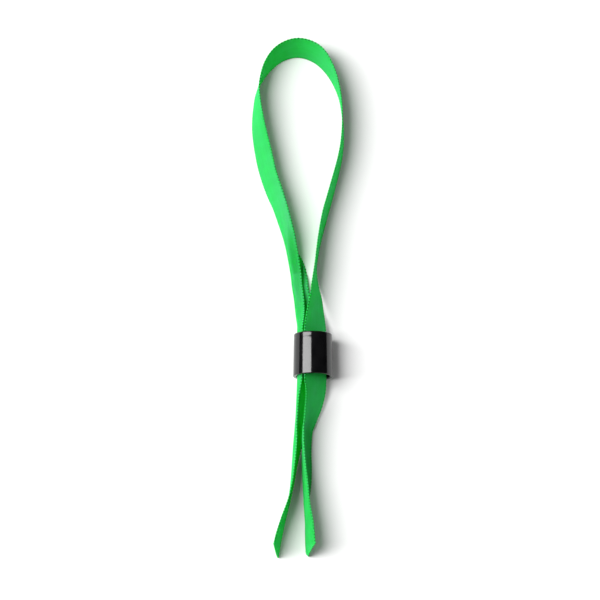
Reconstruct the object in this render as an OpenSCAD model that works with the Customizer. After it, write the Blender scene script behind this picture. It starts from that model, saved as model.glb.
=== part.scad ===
// Ribbon wristband with a sliding barrel closure, lying on a flat surface.
// One satin ribbon is doubled into a wrist loop. Both of its runs pass through a
// moulded barrel and leave it as two free tails. A toothed spring clip in the
// barrel bites the ribbon, so the barrel slides towards the loop and tightens it.
// Millimetres, +Z up, +Y from the tails to the loop, the surface at Z = 0.

/* [Ribbon] */
// Width of the ribbon across its two selvedges
ribbon_w = 10; // [9:0.1:10]
// Thickness of the ribbon
ribbon_t = 0.34; // [0.2:0.02:0.36]
// Length by which the lower corner of a tail runs past the upper one at its slanting cut
tail_cut = 3.5; // [0:0.5:4]

/* [Barrel] */
// Length of the barrel
barrel_len = 14; // [13:0.5:15]
// Outside diameter of the barrel at its tail end
barrel_d = 13; // [12.9:0.1:13.6]
// Amount by which the loop end of the barrel is slimmer, as mould draft
barrel_draft = 0.5; // [0:0.1:0.5]
// Diameter of the bore that both ribbon runs pass through
bore_d = 11; // [10.9:0.05:11.1]
// Radius of the rounded rims
rim_r = 0.35; // [0.1:0.05:0.35]

/* [Lock clip] */
// Length of the spring clip along the barrel
clip_len = 6; // [4:0.5:7]
// Thickness of the spring steel strip
clip_t = 0.4; // [0.3:0.05:0.45]
// Angle of the bore wall that the clip's back covers
clip_angle = 110; // [80:5:120]
// Number of teeth in the row
tooth_count = 5; // [3:2:7]
// Width of each tooth
tooth_w = 0.9; // [0.6:0.1:1]
// Depth of the groove in the bore that holds the clip
groove_depth = 0.2; // [0.1:0.05:0.25]

/* [Hidden] */

barrel_x = 4.8;             // sideways place of the barrel's axis
barrel_y = -20.9;           // middle of the barrel
axis_z = barrel_d / 2;      // the barrel's tail rim touches the surface
bore_r = bore_d / 2;
tail_r = barrel_d / 2;
loop_r = tail_r - barrel_draft / 2;
clip_gap = 0.02;            // room between the clip and its groove
clip_r = bore_r + groove_depth - clip_gap;
clip_turn = 40;             // turn of the clip round the bore, to face the ribbon
tooth_tip_z = 1.8;          // distance of the tooth tips from the barrel's axis
tooth_pitch = 1.5;          // spacing of the teeth across the ribbon
tooth_rake = 35;            // lean of the teeth towards the tails
tooth_t = 0.3;              // thickness of a tooth
tooth_root = 0.15;          // depth by which a tooth is sunk in the clip's back
rest_gap = 0.02;            // height of the lowest edge above the surface
margin = 1;                 // how far a cutting shape runs past the edge it cuts

// The ribbon's route from the left tail's end round the loop to the right tail's end.
// Each station is the middle of the ribbon's width: X, Y, then how far the lower
// selvedge is lifted off the surface, then the lean of the width from upright
// (positive leans away from the loop) and the cross curl from selvedge to selvedge.
route = [
    [-7.5, -86.6, 0.0, 12, 0],
    [-6.4, -80.8, 0.0, 10, 0],
    [-4.8, -74.6, 0.0, 6, 0],
    [-3.2, -68.5, 0.0, 2, -12],
    [-2.4, -62.5, 0.0, 2, -38],
    [-1.95, -56.5, 0.0, 4, -62],
    [-1.5, -50.5, 0.1, 8, -78],
    [-0.9, -45.0, 0.3, 13, -74],
    [-0.4, -40.0, 0.6, 17, -76],
    [-0.2, -35.0, 1.0, 17, -82],
    [-0.15, -31.5, 1.5, 13, -88],
    [-0.1, -28.2, 1.8, 10, -92],
    [-0.1, -20.9, 1.9, 10, -92],
    [-0.1, -14.4, 1.8, 10, -94],
    [-0.1, -10.0, 1.4, 10, -104],
    [-0.5, -5.5, 0.9, 10, -146],
    [-0.9, -1.0, 0.5, 12, -178],
    [-1.6, 3.5, 0.3, 10, -188],
    [-2.4, 9.0, 0.1, 0, -166],
    [-4.9, 19.0, 0.0, -26, -106],
    [-7.9, 31.2, 0.0, -31, -76],
    [-10.4, 40.0, 0.0, -32, -48],
    [-12.0, 47.5, 0.0, -33, -36],
    [-13.6, 57.0, 0.0, -26, -24],
    [-13.9, 65.1, 0.0, -14, -10],
    [-13.2, 71.2, 0.0, -4, 0],
    [-10.3, 78.0, 0.0, 10, 0],
    [-5.8, 82.8, 0.0, 20, 0],
    [0.2, 84.6, 0.0, 25, 0],
    [6.2, 82.4, 0.0, 23, 0],
    [10.5, 77.0, 0.0, 12, 0],
    [13.4, 69.7, 0.0, 3, 0],
    [14.6, 62.0, 0.0, -1, 0],
    [14.7, 53.6, 0.0, -4, 0],
    [13.6, 45.4, 0.0, -6, 0],
    [10.5, 33.6, 0.0, -8, 4],
    [8.4, 26.1, 0.0, -8, 8],
    [6.6, 17.3, 0.0, -4, 8],
    [5.7, 9.5, 0.0, -3, 2],
    [5.7, 3.5, 0.2, -13, -4],
    [6.0, -1.0, 0.7, -23, -10],
    [5.9, -5.5, 1.6, -33, -14],
    [5.8, -10.0, 2.8, -43, -16],
    [5.7, -14.8, 3.8, -48, -14],
    [5.7, -20.9, 3.8, -48, -14],
    [5.7, -28.6, 3.8, -47, -12],
    [5.7, -32.5, 2.8, -41, -6],
    [5.0, -36.5, 2.0, -34, 6],
    [3.6, -40.5, 1.3, -26, 30],
    [1.9, -45.0, 0.8, -18, 66],
    [1.5, -51.0, 0.5, -14, 74],
    [1.4, -57.5, 0.2, -10, 84],
    [1.6, -64.0, 0.0, -3, 84],
    [1.9, -70.0, 0.0, 6, 70],
    [2.7, -76.0, 0.0, 15, 46],
    [3.4, -81.5, 0.0, 18, 24],
    [4.0, -86.5, 0.0, 19, 12]
];
loop_start = 12;            // station in the middle of the barrel, left run
loop_end = 44;              // station in the middle of the barrel, right run
route_end = len(route) - 1;
steps = 3;                  // rings between two stations
facet_edges = [-0.5, -0.3, -0.11, -0.04, 0.03, 0.1, 0.17, 0.33, 0.5]; // across the width, as shares of it
across = len(facet_edges) - 1;
flat_curl = 0.5;            // below this cross curl the width is straight
arch_curl = 60;             // up to this cross curl the whole width is one even arch
fold_curl = 120;            // from this cross curl only a narrow band bends, as a fold
band_loss = 0.36;           // share of the width by which a fold narrows each side of the band
band_shift = 0.08;          // share of the width by which a fold lies nearer the upper selvedge
ribbon_colour = [0.11, 0.72, 0.24];
barrel_colour = [0.06, 0.06, 0.07];
steel_colour = [0.62, 0.63, 0.65];

// Smooth curve through the stations: value k of the route at position u.
function pick(i, k) = route[max(0, min(route_end, i))][k];
function spline(a, b, c, d, t) =
    b + 0.5 * t * (c - a + t * (2 * a - 5 * b + 4 * c - d + t * (3 * (b - c) + d - a)));
function along(u, k) =
    let(i = min(route_end - 1, floor(u)))
    spline(pick(i - 1, k), pick(i, k), pick(i + 1, k), pick(i + 2, k), u - i);

// Unit vector pointing away from the loop, square to the route as seen from above.
function outward(u) =
    let(
        h = 0.05,
        dx = along(min(route_end, u + h), 0) - along(max(0, u - h), 0),
        dy = along(min(route_end, u + h), 1) - along(max(0, u - h), 1),
        n = norm([dx, dy])
    )
    [-dy / n, dx / n];

// Cross-section of the ribbon: [outward, up] at distance w from the mid-width. A band
// of the width bends evenly by curl in all, and the width is straight on each side of it.
function fold(curl) =
    let(f = max(0, min(1, (abs(curl) - arch_curl) / (fold_curl - arch_curl))))
    f * f * (3 - 2 * f);
function half_band(curl) = ribbon_w * (0.5 - band_loss * fold(curl));
function band_middle(curl) = ribbon_w * band_shift * fold(curl);
function in_band(curl, w) = max(-half_band(curl), min(half_band(curl), w - band_middle(curl)));
function turned(lean, curl, w) = lean + curl * in_band(curl, w) / (2 * half_band(curl));
function bent(lean, curl, w) =
    let(
        a = turned(lean, curl, w),
        straight = w - band_middle(curl) - in_band(curl, w),
        r = 2 * half_band(curl) / (curl * PI / 180)
    )
    [
        r * (cos(lean) - cos(a)) + straight * sin(a),
        r * (sin(a) - sin(lean)) + straight * cos(a)
    ];
function section(lean, curl, w) =
    abs(curl) < flat_curl
    ? [w * sin(lean), w * cos(lean)]
    : bent(lean, curl, w) - bent(lean, curl, 0);
function lowest(lean, curl) =
    min([for (share = facet_edges) section(lean, curl, ribbon_w * share)[1]]);

// Point of the ribbon at position u, w across the width and t off its middle layer.
function ribbon_point(u, w, t) =
    let(
        lean = along(u, 3),
        curl = along(u, 4),
        out = outward(u),
        s = section(lean, curl, w),
        turn = turned(lean, curl, w),
        side = s[0] + t * cos(turn),
        rise = s[1] - t * sin(turn),
        foot = ribbon_t / 2 * abs(sin(turn)) + rest_gap + max(0, along(u, 2))
    )
    [along(u, 0) + out[0] * side, along(u, 1) + out[1] * side, rise - lowest(lean, curl) + foot];

// Closed strip between two positions on the route. At a slanting cut the upper
// selvedge ends sooner than the lower one, by this share of a station.
function slide_back(u, w, from, to, slant_from, slant_to) =
    (w / ribbon_w + 0.5)
    * (slant_from * max(0, 1 - (u - from)) - slant_to * max(0, 1 - (to - u)));
function station_gap(i) = norm([pick(i + 1, 0) - pick(i, 0), pick(i + 1, 1) - pick(i, 1)]);
module strip(from, to, slant_from = 0, slant_to = 0) {
    rings = (to - from) * steps;
    count = 2 * (across + 1);
    points = [
        for (i = [0:rings])
            for (j = [0:count - 1])
                let(
                    u = from + i / steps,
                    top = j <= across,
                    w = ribbon_w * facet_edges[top ? j : count - 1 - j],
                    t = ribbon_t * (top ? 0.5 : -0.5)
                )
                ribbon_point(u + slide_back(u, w, from, to, slant_from, slant_to), w, t)
    ];
    sides = [
        for (i = [0:rings - 1])
            for (j = [0:count - 1])
                let(
                    a = i * count + j,
                    b = i * count + (j + 1) % count
                )
                each [[a, b + count, b], [a, a + count, b + count]]
    ];
    caps = [
        for (j = [0:across - 1])
            let(last = rings * count)
            each [
                [j, j + 1, count - 1 - j],
                [j + 1, count - 2 - j, count - 1 - j],
                [last + j, last + count - 1 - j, last + j + 1],
                [last + j + 1, last + count - 1 - j, last + count - 2 - j]
            ]
    ];
    polyhedron(points = points, faces = concat(sides, caps), convexity = 8);
}

// The wrist loop, from the middle of the barrel round and back to it.
module ribbon_loop() {
    color(ribbon_colour) strip(loop_start, loop_end);
}

// The two free tails, from the middle of the barrel to their slanting cut ends.
module ribbon_tail_left() {
    color(ribbon_colour) strip(0, loop_start, slant_from = tail_cut / station_gap(0));
}
module ribbon_tail_right() {
    color(ribbon_colour) strip(loop_end, route_end, slant_to = tail_cut / station_gap(route_end - 1));
}

// Place a shape drawn round +Z on the barrel's axis, its +Z towards the loop.
module on_barrel_axis() {
    translate([barrel_x, barrel_y, axis_z]) rotate([-90, 0, 0]) children();
}

// Half of the barrel's wall section: radius across, length up.
module barrel_section() {
    half = barrel_len / 2;
    groove_len = clip_len + 2 * clip_gap;
    difference() {
        polygon([[bore_r, -half], [tail_r, -half], [loop_r, half], [bore_r, half]]);
        translate([bore_r - margin, -groove_len / 2]) square([margin + groove_depth, groove_len]);
        translate([tail_r - rim_r, -half]) rim_corner();
        translate([loop_r - rim_r, half]) mirror([0, 1]) rim_corner();
    }
}
// What a rounded rim takes off a square corner.
module rim_corner() {
    difference() {
        translate([0, -margin]) square([margin + rim_r, margin + rim_r]);
        translate([0, rim_r]) circle(r = rim_r, $fn = 24);
    }
}

// One-piece moulded barrel with a slight draft and rounded rims.
module barrel() {
    color(barrel_colour) on_barrel_axis() rotate_extrude($fn = 96) barrel_section();
}

// Spring clip: a back that hugs the upper bore wall and a row of raked teeth.
module lock_clip() {
    color(steel_colour)
    on_barrel_axis() rotate([0, 0, clip_turn]) {
        rotate([0, 0, -90 - clip_angle / 2])
        rotate_extrude(angle = clip_angle, $fn = 96)
        translate([clip_r - clip_t, -clip_len / 2]) square([clip_t, clip_len]);
        for (k = [0:tooth_count - 1]) tooth((k - (tooth_count - 1) / 2) * tooth_pitch);
    }
}
// One tooth at a sideways place, from the clip's back down to its tip.
module tooth(x) {
    root = sqrt(pow(clip_r - clip_t, 2) - pow(abs(x) + tooth_w / 2, 2)) + tooth_root;
    reach = (root - tooth_tip_z) * tan(tooth_rake);
    translate([x - tooth_w / 2, 0, 0]) rotate([90, 0, 90])
    linear_extrude(tooth_w)
    polygon([
        [-root, tooth_t],
        [-root, -tooth_t],
        [-tooth_tip_z, -reach - tooth_t / 2],
        [-tooth_tip_z, -reach]
    ]);
}

ribbon_loop();
ribbon_tail_left();
ribbon_tail_right();
barrel();
lock_clip();
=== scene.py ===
"""The looks of the ribbon wristband: a green satin ribbon doubled through a glossy black barrel."""

import math

import bpy
import numpy as np
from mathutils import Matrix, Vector


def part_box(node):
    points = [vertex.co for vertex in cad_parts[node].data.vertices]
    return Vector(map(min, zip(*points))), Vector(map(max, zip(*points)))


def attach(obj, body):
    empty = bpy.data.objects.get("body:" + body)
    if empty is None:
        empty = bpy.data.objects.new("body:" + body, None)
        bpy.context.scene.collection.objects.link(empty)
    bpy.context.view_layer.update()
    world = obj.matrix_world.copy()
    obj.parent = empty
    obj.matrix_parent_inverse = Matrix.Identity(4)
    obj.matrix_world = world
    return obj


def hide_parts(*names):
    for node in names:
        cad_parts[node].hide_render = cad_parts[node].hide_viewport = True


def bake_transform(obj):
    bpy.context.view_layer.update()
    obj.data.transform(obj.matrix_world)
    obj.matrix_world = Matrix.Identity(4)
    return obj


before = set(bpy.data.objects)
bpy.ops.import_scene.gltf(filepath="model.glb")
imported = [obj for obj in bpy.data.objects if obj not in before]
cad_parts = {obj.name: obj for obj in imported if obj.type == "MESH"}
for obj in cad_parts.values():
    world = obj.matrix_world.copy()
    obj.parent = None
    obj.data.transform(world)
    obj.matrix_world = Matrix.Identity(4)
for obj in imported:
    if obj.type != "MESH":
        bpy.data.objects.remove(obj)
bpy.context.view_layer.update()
MM = 0.001

# ---------------------------------------------------------------- camera
# High above the table, a little towards the tails, with a long lens.
ELEVATION = math.radians(77)
LENS, DISTANCE = 201.2, 1.1
AIM = Vector((0.00056, -0.0019, 0.005))
lens = bpy.data.cameras.new("camera")
lens.lens = LENS
lens.sensor_width = 36
lens.clip_start, lens.clip_end = 0.05, 20
camera = bpy.data.objects.new("camera", lens)
camera.location = AIM + DISTANCE * Vector((0, -math.cos(ELEVATION), math.sin(ELEVATION)))
camera.rotation_euler = (math.pi / 2 - ELEVATION, 0, 0)
bpy.context.scene.collection.objects.link(camera)
bpy.context.scene.camera = camera

# ---------------------------------------------------------------- the ribbon's route
# Stations along the ribbon, from the left tail's end round the loop to the right tail's
# end: X, Y and lift of the lower selvedge in mm, then the lean of the width from upright
# and the cross curl from selvedge to selvedge in degrees.
ROUTE = np.array([
    (-7.5, -86.6, 0, 12, 0), (-6.4, -80.8, 0, 10, 0), (-4.8, -74.6, 0, 6, 0),
    (-3.2, -68.5, 0, 2, -12), (-2.4, -62.5, 0, 2, -38), (-1.95, -56.5, 0, 4, -62),
    (-1.5, -50.5, 0.1, 8, -78), (-0.9, -45, 0.3, 13, -74), (-0.4, -40, 0.6, 17, -76),
    (-0.2, -35, 1, 17, -82), (-0.15, -31.5, 1.5, 13, -88), (-0.1, -28.2, 1.8, 10, -92),
    (-0.1, -20.9, 1.9, 10, -92), (-0.1, -14.4, 1.8, 10, -94), (-0.1, -10, 1.4, 10, -104),
    (-0.5, -5.5, 0.9, 10, -146), (-0.9, -1, 0.5, 12, -178), (-1.6, 3.5, 0.3, 10, -188),
    (-2.4, 9, 0.1, 0, -166), (-4.9, 19, 0, -26, -106), (-7.9, 31.2, 0, -31, -76),
    (-10.4, 40, 0, -32, -48), (-12, 47.5, 0, -33, -36), (-13.6, 57, 0, -26, -24),
    (-13.9, 65.1, 0, -14, -10), (-13.2, 71.2, 0, -4, 0), (-10.3, 78, 0, 10, 0),
    (-5.8, 82.8, 0, 20, 0), (0.2, 84.6, 0, 25, 0), (6.2, 82.4, 0, 23, 0),
    (10.5, 77, 0, 12, 0), (13.4, 69.7, 0, 3, 0), (14.6, 62, 0, -1, 0),
    (14.7, 53.6, 0, -4, 0), (13.6, 45.4, 0, -6, 0), (10.5, 33.6, 0, -8, 4),
    (8.4, 26.1, 0, -8, 8), (6.6, 17.3, 0, -4, 8), (5.7, 9.5, 0, -3, 2),
    (5.7, 3.5, 0.2, -13, -4), (6, -1, 0.7, -23, -10), (5.9, -5.5, 1.6, -33, -14),
    (5.8, -10, 2.8, -43, -16), (5.7, -14.8, 3.75, -48, -14), (5.7, -20.9, 3.75, -48, -14),
    (5.7, -28.6, 3.75, -47, -12), (5.7, -32.5, 2.8, -41, -6), (5, -36.5, 2, -34, 6),
    (3.6, -40.5, 1.3, -26, 30), (1.9, -45, 0.8, -18, 66), (1.5, -51, 0.5, -14, 74),
    (1.4, -57.5, 0.2, -10, 84), (1.6, -64, 0, -3, 84), (1.9, -70, 0, 6, 70),
    (2.7, -76, 0, 15, 46), (3.4, -81.5, 0, 18, 24), (4, -86.5, 0, 19, 12),
])
END = len(ROUTE) - 1
BARREL_LEFT, BARREL_RIGHT = 12, 44     # stations in the middle of the barrel
# Lengthwise edges of the CAD ribbon's facets, as shares of its width.
FACET_EDGES = (-0.5, -0.3, -0.11, -0.04, 0.03, 0.1, 0.17, 0.33, 0.5)

# The ribbon, in mm and degrees.
WIDTH = 10.0
EDGE = WIDTH / 2                       # distance from the mid-width to a selvedge's rim
SELVEDGE = 0.5                         # width of a woven edge
FACE = EDGE - SELVEDGE                 # distance from the mid-width to a woven edge
CAD_HALF = 0.17                        # half the thickness of the CAD ribbon
CLEARANCE = 0.02                       # height of the lowest edge above the table
HALF = 0.14                            # half the thickness of the satin face
BEAD = 1.0                             # pitch of the weft loops along a selvedge
RING = BEAD / 8                        # spacing of the mesh rings along the ribbon
TAIL_CUT = 3.5                         # the upper corner of a cut end is this much shorter
ARCH_CURL, FOLD_CURL = 60, 120         # up to the first, the whole width bends; from the second, a strip
FOLD_LOSS, FOLD_SHIFT = 0.36, 0.08     # shares of the width that the strip loses each side and shifts by


def smooth_step(t):
    """0 up to t = 0 and 1 from t = 1, with a smooth ease between."""
    t = np.clip(t, 0, 1)
    return t * t * (3 - 2 * t)


def along(u, k):
    """Value k of the route at position u, on a smooth curve through the stations."""
    i = np.minimum(END - 1, np.floor(u)).astype(int)
    t = u - i
    a, b, c, d = (ROUTE[np.clip(i + j, 0, END), k] for j in (-1, 0, 1, 2))
    return b + 0.5 * t * (c - a + t * (2 * a - 5 * b + 4 * c - d + t * (3 * (b - c) + d - a)))


def outward(u):
    """Unit vector square to the route at position u, out of the loop."""
    h = 0.05
    dx = along(np.minimum(END, u + h), 0) - along(np.maximum(0, u - h), 0)
    dy = along(np.minimum(END, u + h), 1) - along(np.maximum(0, u - h), 1)
    n = np.hypot(dx, dy)
    return -dy / n, dx / n


def band(curl):
    """Half the width of the band that bends, and its middle: all of an arch, a strip of a fold."""
    fold = smooth_step((np.abs(curl) - ARCH_CURL) / (FOLD_CURL - ARCH_CURL))
    return WIDTH * (0.5 - FOLD_LOSS * fold), WIDTH * FOLD_SHIFT * fold


def turned(lean, curl, w):
    """Direction of the width at w across, in radians from upright."""
    half, middle = band(curl)
    return np.radians(lean + curl * np.clip(w - middle, -half, half) / (2 * half))


def bent(lean, curl, w):
    """The cross-section, (outward, up), at w across, from the middle of the band that bends."""
    half, middle = band(curl)
    least = 0.5                        # a flat strip counts as bent by this much
    curl = np.where(np.abs(curl) < least, least, curl)
    a, lean = turned(lean, curl, w), np.radians(lean)
    straight = w - middle - np.clip(w - middle, -half, half)
    r = 2 * half / np.radians(curl)
    return (r * (np.cos(lean) - np.cos(a)) + straight * np.sin(a),
            r * (np.sin(a) - np.sin(lean)) + straight * np.cos(a))


def section(lean, curl, w):
    """The cross-section, (outward, up), at w across from the mid-width."""
    (s, z), (s0, z0) = bent(lean, curl, w), bent(lean, curl, 0 * w)
    return s - s0, z - z0


def ribbon_point(u, w, t):
    """Point in mm at position u, w across the width and t off the middle layer."""
    lean, curl = along(u, 3), along(u, 4)
    ox, oy = outward(u)
    side, rise = section(lean, curl, w)
    low = np.min([section(lean, curl, WIDTH * f)[1] for f in FACET_EDGES], axis=0)
    turn = turned(lean, curl, w)
    side = side + t * np.cos(turn)
    rise = rise - t * np.sin(turn)
    foot = CAD_HALF * np.abs(np.sin(turn)) + CLEARANCE + np.maximum(0, along(u, 2))
    return np.stack([along(u, 0) + ox * side, along(u, 1) + oy * side, rise - low + foot], -1)


# ---------------------------------------------------------------- mesh helpers
def add_mesh(name, points, faces, material, smooth=True):
    me = bpy.data.meshes.new(name)
    me.from_pydata([tuple(p) for p in points], [], [tuple(int(i) for i in f) for f in faces])
    me.validate()
    me.polygons.foreach_set("use_smooth", [smooth] * len(me.polygons))
    me.materials.append(material)
    me.update()
    ob = bpy.data.objects.new(name, me)
    bpy.context.scene.collection.objects.link(ob)
    return ob


def tube_faces(rings, count):
    """Quads between rings of count points each, every ring closed on itself."""
    i = np.arange(rings - 1)[:, None] * count
    j = np.arange(count)[None, :]
    k = (j + 1) % count
    return np.stack([i + j, i + count + j, i + count + k, i + k], -1).reshape(-1, 4)


# ---------------------------------------------------------------- materials
def new_material(name):
    m = bpy.data.materials.new(name)
    m.use_nodes = True
    nt = m.node_tree
    return m, nt, nt.nodes["Principled BSDF"]


def node(nt, kind, **values):
    n = nt.nodes.new(kind)
    for key, value in values.items():
        setattr(n, key, value)
    return n


def math_node(nt, op, a, b=None, c=None):
    n = node(nt, "ShaderNodeMath", operation=op)
    for socket, value in zip(n.inputs, (a, b, c)):
        if value is None:
            continue
        if isinstance(value, (int, float)):
            socket.default_value = value
        else:
            nt.links.new(value, socket)
    return n.outputs[0]


def ramp(nt, value, stops):
    """A colour for each value, from stops of (position, colour)."""
    n = node(nt, "ShaderNodeValToRGB")
    elements = n.color_ramp.elements
    for element, (position, colour) in zip(elements, (stops[0], stops[-1])):
        element.position = position
        element.color = (*colour, 1)
    for position, colour in stops[1:-1]:
        elements.new(position).color = (*colour, 1)
    nt.links.new(value, n.inputs[0])
    return n.outputs[0]


THREADS = 8.0                          # warp threads per mm across the ribbon
PICKS = 4.0                            # weft picks per mm along it
TIE_EVERY = 5.0                        # a warp float passes over this many picks
TIE_STEP = 2.0                         # picks by which the tie moves from thread to thread
# The darkest stop is reached only by the painted shade between the selvedge beads, and the lightest
# greens only by the painted highlight on their tops.
SATIN_GREENS = [
    (0.0, (0.001, 0.06, 0.004)),
    (0.35, (0.014, 0.36, 0.045)),
    (0.6, (0.022, 0.44, 0.080)),
    (0.95, (0.060, 0.61, 0.190)),
]


def satin_material():
    """Green satin: warp floats along the ribbon, tied down by weft picks, and a woven edge."""
    m, nt, bsdf = new_material("green_satin")
    uv = node(nt, "ShaderNodeUVMap", uv_map="cloth")
    split = node(nt, "ShaderNodeSeparateXYZ")
    nt.links.new(uv.outputs[0], split.inputs[0])
    s, w = split.outputs[0], split.outputs[1]        # mm along and across the ribbon

    # Warp threads, each a little different.
    thread = math_node(nt, "MULTIPLY", w, THREADS)
    row = math_node(nt, "FLOOR", thread)
    rib = math_node(nt, "PINGPONG", math_node(nt, "SUBTRACT", thread, row), 0.5)
    shade = node(nt, "ShaderNodeTexWhiteNoise", noise_dimensions="1D")
    nt.links.new(row, shade.inputs["W"])

    # Where a pick ties a float down, stepping across the threads.
    pick = math_node(nt, "MULTIPLY", s, PICKS)
    step = math_node(nt, "MULTIPLY_ADD", row, TIE_STEP, pick)
    tie = math_node(nt, "FRACT", math_node(nt, "DIVIDE", step, TIE_EVERY))
    tie = math_node(nt, "COMPARE", tie, 0.5, 0.1)

    # Slow unevenness of tension and dye along the ribbon.
    slow = node(nt, "ShaderNodeTexNoise", noise_dimensions="2D")
    slow.inputs["Scale"].default_value = 0.35
    slow.inputs["Detail"].default_value = 4
    nt.links.new(uv.outputs[0], slow.inputs["Vector"])

    # The selvedge: edge is 0 over the face and 1 in the weave, which starts just inside it.
    edge = math_node(nt, "GREATER_THAN", math_node(nt, "ABSOLUTE", w), FACE - 0.05)
    face = math_node(nt, "SUBTRACT", 1.0, edge)
    bead = math_node(nt, "PINGPONG", s, BEAD / 2)

    # Tone of the face from thread, tension and ties, and of the edge from its beads: painted shade in the
    # nicks between beads and a painted highlight on each bead's top.
    tone = math_node(nt, "MULTIPLY_ADD", shade.outputs["Value"], 0.10, 0.42)
    tone = math_node(nt, "ADD", tone, math_node(nt, "MULTIPLY", slow.outputs["Fac"], 0.16))
    tone = math_node(nt, "SUBTRACT", tone, math_node(nt, "MULTIPLY", tie, 0.12))
    # Painted shade between the selvedge beads, painted highlight on their tops.
    bead_highlight_and_shade = math_node(nt, "MULTIPLY_ADD", bead, 2.0, -0.1)
    tone = math_node(nt, "MULTIPLY", tone, face)
    tone = math_node(nt, "ADD", tone, math_node(nt, "MULTIPLY", bead_highlight_and_shade, edge))
    nt.links.new(ramp(nt, tone, SATIN_GREENS), bsdf.inputs["Base Color"])

    rough = math_node(nt, "MULTIPLY_ADD", slow.outputs["Fac"], 0.12, 0.36)
    rough = math_node(nt, "ADD", rough, math_node(nt, "MULTIPLY", edge, 0.2))
    nt.links.new(rough, bsdf.inputs["Roughness"])

    # Relief: ribs with a dip at each tie over the face, beads along the edge.
    dip = math_node(nt, "MULTIPLY", tie, 0.5)
    height = math_node(nt, "SUBTRACT", math_node(nt, "MULTIPLY", rib, 1.2), dip)
    height = math_node(nt, "MULTIPLY", height, face)
    height = math_node(nt, "ADD", height, math_node(nt, "MULTIPLY", bead, edge))
    bump = node(nt, "ShaderNodeBump")
    bump.inputs["Strength"].default_value = 0.35
    bump.inputs["Distance"].default_value = 0.04 * MM
    nt.links.new(height, bump.inputs["Height"])
    nt.links.new(bump.outputs[0], bsdf.inputs["Normal"])

    # Light soaks through the thin yarn, green the furthest.
    bsdf.inputs["Specular IOR Level"].default_value = 0.0
    bsdf.inputs["Subsurface Weight"].default_value = 1.0
    bsdf.inputs["Subsurface Radius"].default_value = (0.05, 1.0, 0.05)
    bsdf.inputs["Subsurface Scale"].default_value = 1.3 * MM

    # The lustre of the floats, broad across the ribbon and tinted by the yarn.
    lustre = node(nt, "ShaderNodeBsdfAnisotropic")
    lustre.inputs["Color"].default_value = (0.42, 0.80, 1.0, 1)
    lustre.inputs["Anisotropy"].default_value = 0.5
    nt.links.new(rough, lustre.inputs["Roughness"])
    nt.links.new(bump.outputs[0], lustre.inputs["Normal"])
    both = node(nt, "ShaderNodeMixShader")
    both.inputs[0].default_value = 0.028
    nt.links.new(bsdf.outputs[0], both.inputs[1])
    nt.links.new(lustre.outputs[0], both.inputs[2])
    nt.links.new(both.outputs[0], nt.nodes["Material Output"].inputs["Surface"])
    return m


def plastic_material():
    """Glossy black moulded plastic with faint flow marks."""
    m, nt, bsdf = new_material("black_plastic")
    where = node(nt, "ShaderNodeTexCoord")
    flow = node(nt, "ShaderNodeTexNoise")
    flow.inputs["Scale"].default_value = 260
    flow.inputs["Detail"].default_value = 5
    nt.links.new(where.outputs["Object"], flow.inputs["Vector"])
    fine = node(nt, "ShaderNodeTexNoise")
    fine.inputs["Scale"].default_value = 2600
    fine.inputs["Detail"].default_value = 2
    nt.links.new(where.outputs["Object"], fine.inputs["Vector"])
    rough = math_node(nt, "MULTIPLY_ADD", flow.outputs["Fac"], 0.10, 0.07)
    nt.links.new(rough, bsdf.inputs["Roughness"])
    colour = ramp(nt, flow.outputs["Fac"], [(0.3, (0.003, 0.003, 0.0035)), (0.7, (0.006, 0.006, 0.0065))])
    nt.links.new(colour, bsdf.inputs["Base Color"])
    waves = math_node(nt, "MULTIPLY", flow.outputs["Fac"], 0.8)
    height = math_node(nt, "MULTIPLY_ADD", fine.outputs["Fac"], 0.2, waves)
    bump = node(nt, "ShaderNodeBump")
    bump.inputs["Strength"].default_value = 0.12
    bump.inputs["Distance"].default_value = 0.05 * MM
    nt.links.new(height, bump.inputs["Height"])
    nt.links.new(bump.outputs[0], bsdf.inputs["Normal"])
    bsdf.inputs["IOR"].default_value = 1.52
    return m


def steel_material():
    """Brushed spring steel, its grain across the strip."""
    m, nt, bsdf = new_material("brushed_steel")
    where = node(nt, "ShaderNodeTexCoord")
    stretch = node(nt, "ShaderNodeMapping")
    stretch.inputs["Scale"].default_value = (300, 9000, 300)
    nt.links.new(where.outputs["Object"], stretch.inputs["Vector"])
    grain = node(nt, "ShaderNodeTexNoise")
    grain.inputs["Scale"].default_value = 1
    grain.inputs["Detail"].default_value = 3
    nt.links.new(stretch.outputs[0], grain.inputs["Vector"])
    rough = math_node(nt, "MULTIPLY_ADD", grain.outputs["Fac"], 0.2, 0.24)
    nt.links.new(rough, bsdf.inputs["Roughness"])
    colour = ramp(nt, grain.outputs["Fac"], [(0.2, (0.40, 0.41, 0.43)), (0.8, (0.62, 0.63, 0.65))])
    nt.links.new(colour, bsdf.inputs["Base Color"])
    bump = node(nt, "ShaderNodeBump")
    bump.inputs["Strength"].default_value = 0.2
    bump.inputs["Distance"].default_value = 0.02 * MM
    nt.links.new(grain.outputs["Fac"], bump.inputs["Height"])
    nt.links.new(bump.outputs[0], bsdf.inputs["Normal"])
    bsdf.inputs["Metallic"].default_value = 1.0
    return m


SATIN = satin_material()
PLASTIC = plastic_material()
STEEL = steel_material()

# ---------------------------------------------------------------- the ribbon
# Distance along the ribbon at the mid-width, as a table from station to mm.
fine_u = np.linspace(0, END, END * 60 + 1)
mid = ribbon_point(fine_u, 0.0, 0.0)
run = np.concatenate([[0], np.cumsum(np.linalg.norm(np.diff(mid, axis=0), axis=1))])


def mm_at(u):
    """Distance along the ribbon to position u."""
    return np.interp(u, fine_u, run)


def station_gap(i):
    """Distance over the table from station i to the next."""
    return np.hypot(*(ROUTE[i + 1, :2] - ROUTE[i, :2]))


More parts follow.
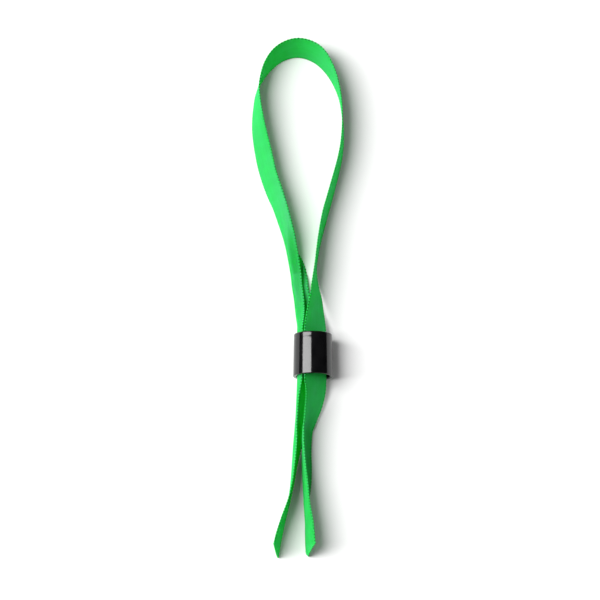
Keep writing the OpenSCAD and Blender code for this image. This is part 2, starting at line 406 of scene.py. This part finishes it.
# Places across the width, closer together in the woven edges.
face_w = np.linspace(-FACE, FACE, 15)
edge_w = FACE + np.array([0.06, 0.16, 0.27, 0.37, 0.45, 0.49])
ACROSS = np.concatenate([-edge_w[::-1], face_w, edge_w])
HUMP = 0.05                            # mean and swing of a selvedge bead's extra thickness
NOTCH = 0.12                           # depth of the nicks between beads along the rim
BLUNT = 0.12                           # share of the thickness that is left at the rim


def into_selvedge(w):
    """0 over the face, rising to 1 at the rim of the woven edge."""
    return np.clip((np.abs(w) - FACE) / SELVEDGE, 0, 1)


def half_thickness(w, wave):
    """Half the thickness at w across: an even face and a rounded, beaded edge."""
    into = into_selvedge(w)
    hump = np.sin(np.pi * np.clip(into * 1.15, 0, 1)) * HUMP * (1 + wave)
    round_from = 0.55
    rounding = np.clip((into - round_from) / (1 - round_from), 0, 1)
    return (HALF + hump) * np.maximum(np.sqrt(1 - rounding ** 2), BLUNT)


def curled_corner(s, w, t, end):
    """Curl the sharp corner of a cut end under, as the loose end of a satin ribbon does."""
    along_s, along_w = 0.94, -0.34     # the way that it curls, mostly along the ribbon
    radius, depth = 1.3, 2.1           # how tightly, and how far from the end it starts
    past = np.maximum(0, (s - end + depth) * along_s + (w + EDGE) * along_w)
    turn = past / radius
    back = radius * np.sin(turn) - past - t * np.sin(turn)
    lift = radius * (1 - np.cos(turn))
    u = np.interp(s + back * along_s, run, fine_u)
    return u, w + back * along_w, t * np.cos(turn) + lift


def ribbon_strip(name, start, end, cut_start=False, cut_end=False):
    """A closed strip of ribbon between two stations, with beaded selvedges."""
    s0, s1 = mm_at(start), mm_at(end)
    rings = int(round((s1 - s0) / RING)) + 1
    s = np.linspace(s0, s1, rings)
    u = np.interp(s, run, fine_u)
    u[0], u[-1] = start, end
    wave = np.cos(2 * np.pi * s / BEAD)[:, None]
    w = np.concatenate([ACROSS, ACROSS[::-1]])[None, :]
    side = np.concatenate([np.ones(len(ACROSS)), -np.ones(len(ACROSS))])[None, :]
    wide = w - np.sign(w) * into_selvedge(w) ** 2 * NOTCH * (1 - wave) / 2
    t = side * half_thickness(w, wave)
    grid = np.repeat(u[:, None], w.shape[1], axis=1)
    # Slant a cut end: 1 at the upper selvedge, 0 at the lower, whose corner is a little blunt.
    blunt_width, blunt_depth = 1.2, 0.2
    blunt = np.clip((blunt_width - EDGE - w) / blunt_width, 0, 1)
    share = w / WIDTH + 0.5 + blunt_depth * blunt ** 2
    if cut_start:
        slant = TAIL_CUT / station_gap(0)
        grid = grid + share * slant * np.maximum(0, 1 - grid)
    if cut_end:
        slant = TAIL_CUT / station_gap(END - 1)
        grid = grid - share * slant * np.maximum(0, 1 - (END - grid))
    wide = wide + 0 * grid
    t = t + 0 * grid
    if cut_end:
        laid = curled_corner(mm_at(grid), wide, t, s1)
    else:
        laid = grid, wide, t
    points = ribbon_point(*laid) * MM
    count = w.shape[1]
    faces = list(tube_faces(rings, count))
    n = len(ACROSS)
    last = (rings - 1) * count
    for j in range(n - 1):
        a, b, c, d = j, j + 1, count - 2 - j, count - 1 - j
        faces.append((a, b, c, d))
        faces.append((last + d, last + c, last + b, last + a))
    ob = add_mesh(name, points.reshape(-1, 3), faces, SATIN)
    me = ob.data
    layer = me.uv_layers.new(name="cloth")
    where = np.stack([mm_at(grid), wide], -1).reshape(-1, 2)
    corners = np.empty(len(me.loops), dtype=np.int32)
    me.loops.foreach_get("vertex_index", corners)
    layer.data.foreach_set("uv", where[corners].astype(np.float32).ravel())
    return ob, (s1 - s0) * MM


barrel_min, barrel_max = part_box("barrel")

for name, start, end, cuts in (
    ("ribbon_loop", BARREL_LEFT, BARREL_RIGHT, {}),
    ("ribbon_tail_left", 0, BARREL_LEFT, {"cut_start": True}),
    ("ribbon_tail_right", BARREL_RIGHT, END, {"cut_end": True}),
):
    strip, length = ribbon_strip("satin_" + name, start, end, **cuts)
    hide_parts(name)
    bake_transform(strip)

# ---------------------------------------------------------------- the barrel
# In mm, from the barrel's axis and from its middle.
TAIL_RADIUS, LOOP_RADIUS = 6.5, 6.25   # outside at each end, with the mould's draft between
BORE = 5.5
HALF_LENGTH = 7.0
RIM = 0.2                              # radius of the rounded rims
SHOULDER = HALF_LENGTH - 2.1           # where a soft step down to the loop end starts
SHOULDER_RUN, SHOULDER_STEP = 0.9, 0.02
GROOVE_EDGE, GROOVE_FLOOR = 3.1, 3.02  # ends of the clip's groove, at the bore and at its floor
GROOVE_DEPTH = 0.19
BORE_RING = 5.0                        # a ring of points between the groove and each rim
SEAM_FROM = 6.1                        # the mould's parting lines lie outside this radius
SEAM_HEIGHT = 0.02


def outer_radius(y):
    """The barrel's outside at y along it, with its draft and a soft step to the loop end."""
    draft = (TAIL_RADIUS - LOOP_RADIUS) / (2 * HALF_LENGTH) * (y + HALF_LENGTH)
    return TAIL_RADIUS - draft - SHOULDER_STEP * smooth_step((y - SHOULDER) / SHOULDER_RUN)


def arc(centre_r, centre_y, radius, first, last, count):
    """Points on an arc between two angles in degrees."""
    a = np.radians(np.linspace(first, last, count))
    return [(centre_r + radius * math.cos(x), centre_y + radius * math.sin(x)) for x in a]


def barrel_profile():
    """Wall section of the barrel as (radius, along) in mm, from its tail end round to its bore."""
    low, high = RIM - HALF_LENGTH, HALF_LENGTH - RIM
    wall = [*np.linspace(low + 0.6, SHOULDER, 10), *np.linspace(SHOULDER + 0.15, high - 0.3, 12)]
    p = arc(outer_radius(low) - RIM, low, RIM, -90, 0, 7)
    p += [(outer_radius(y), y) for y in wall]
    p += arc(outer_radius(high) - RIM, high, RIM, 0, 90, 7)
    p += arc(BORE + RIM, high, RIM, 90, 180, 6)
    p += [(BORE, BORE_RING), (BORE, GROOVE_EDGE), (BORE + GROOVE_DEPTH, GROOVE_FLOOR)]
    p += [(BORE + GROOVE_DEPTH, -GROOVE_FLOOR), (BORE, -GROOVE_EDGE), (BORE, -BORE_RING)]
    p += arc(BORE + RIM, low, RIM, 180, 270, 6)
    return np.array(p)


def make_barrel():
    """The profile turned about the barrel's axis."""
    turns = 180
    profile = barrel_profile()
    a = 2 * np.pi * np.arange(turns) / turns
    r, y = profile[:, 0][None, :], profile[:, 1][None, :]
    # Two fine parting lines of the mould, on the sides of the outer wall.
    seam = np.zeros(turns)
    seam[[0, turns // 2]] = SEAM_HEIGHT
    r = r + seam[:, None] * (r > SEAM_FROM)
    x = r * np.cos(a)[:, None]
    z = r * np.sin(a)[:, None]
    middle = [(low + high) / 2 for low, high in zip(barrel_min, barrel_max)]
    points = np.stack([x, y + 0 * x, z], -1).reshape(-1, 3) * MM + middle
    n = len(profile)
    faces = []
    for i in range(turns):
        k = (i + 1) % turns
        for j in range(n):
            m = (j + 1) % n
            faces.append((i * n + j, i * n + m, k * n + m, k * n + j))
    return add_mesh("moulded_barrel", points, faces, PLASTIC)


barrel = make_barrel()
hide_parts("barrel")
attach(barrel, "slider")

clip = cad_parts["lock_clip"]
for slot in clip.material_slots:
    slot.material = STEEL

# ---------------------------------------------------------------- table, light
floor_mat, nt, bsdf = new_material("white_table")
bsdf.inputs["Base Color"].default_value = (0.86, 0.86, 0.86, 1)
bsdf.inputs["Roughness"].default_value = 0.9
bsdf.inputs["Specular IOR Level"].default_value = 0.0
REACH = 4                              # the table runs this far each way, in metres
corners = [(-REACH, -REACH, 0), (REACH, -REACH, 0), (REACH, REACH, 0), (-REACH, REACH, 0)]
floor = add_mesh("table", corners, [(0, 1, 2, 3)], floor_mat, smooth=False)


def soft_light(name, azimuth, elevation, distance, size, radiance):
    """A rectangular softbox that faces the object. Azimuth 0 is +X, elevation from the table."""
    data = bpy.data.lights.new(name, "AREA")
    data.shape = "RECTANGLE"
    data.size, data.size_y = size
    data.energy = radiance * math.pi * size[0] * size[1]
    ob = bpy.data.objects.new(name, data)
    az, el = math.radians(azimuth), math.radians(elevation)
    way = Vector((math.cos(el) * math.cos(az), math.cos(el) * math.sin(az), math.sin(el)))
    ob.location = way * distance
    ob.rotation_euler = way.to_track_quat("Z", "Y").to_euler()
    bpy.context.scene.collection.objects.link(ob)


soft_light("key", azimuth=176, elevation=52.5, distance=2.0, size=(1.1, 1.9), radiance=10.6)
world = bpy.data.worlds.new("studio")
bpy.context.scene.world = world
world.use_nodes = True
sky = world.node_tree.nodes["Background"]
sky.inputs["Color"].default_value = (1, 1, 1, 1)
sky.inputs["Strength"].default_value = 0.26
world.cycles_visibility.glossy = False
bpy.context.scene.view_settings.view_transform = "Standard"
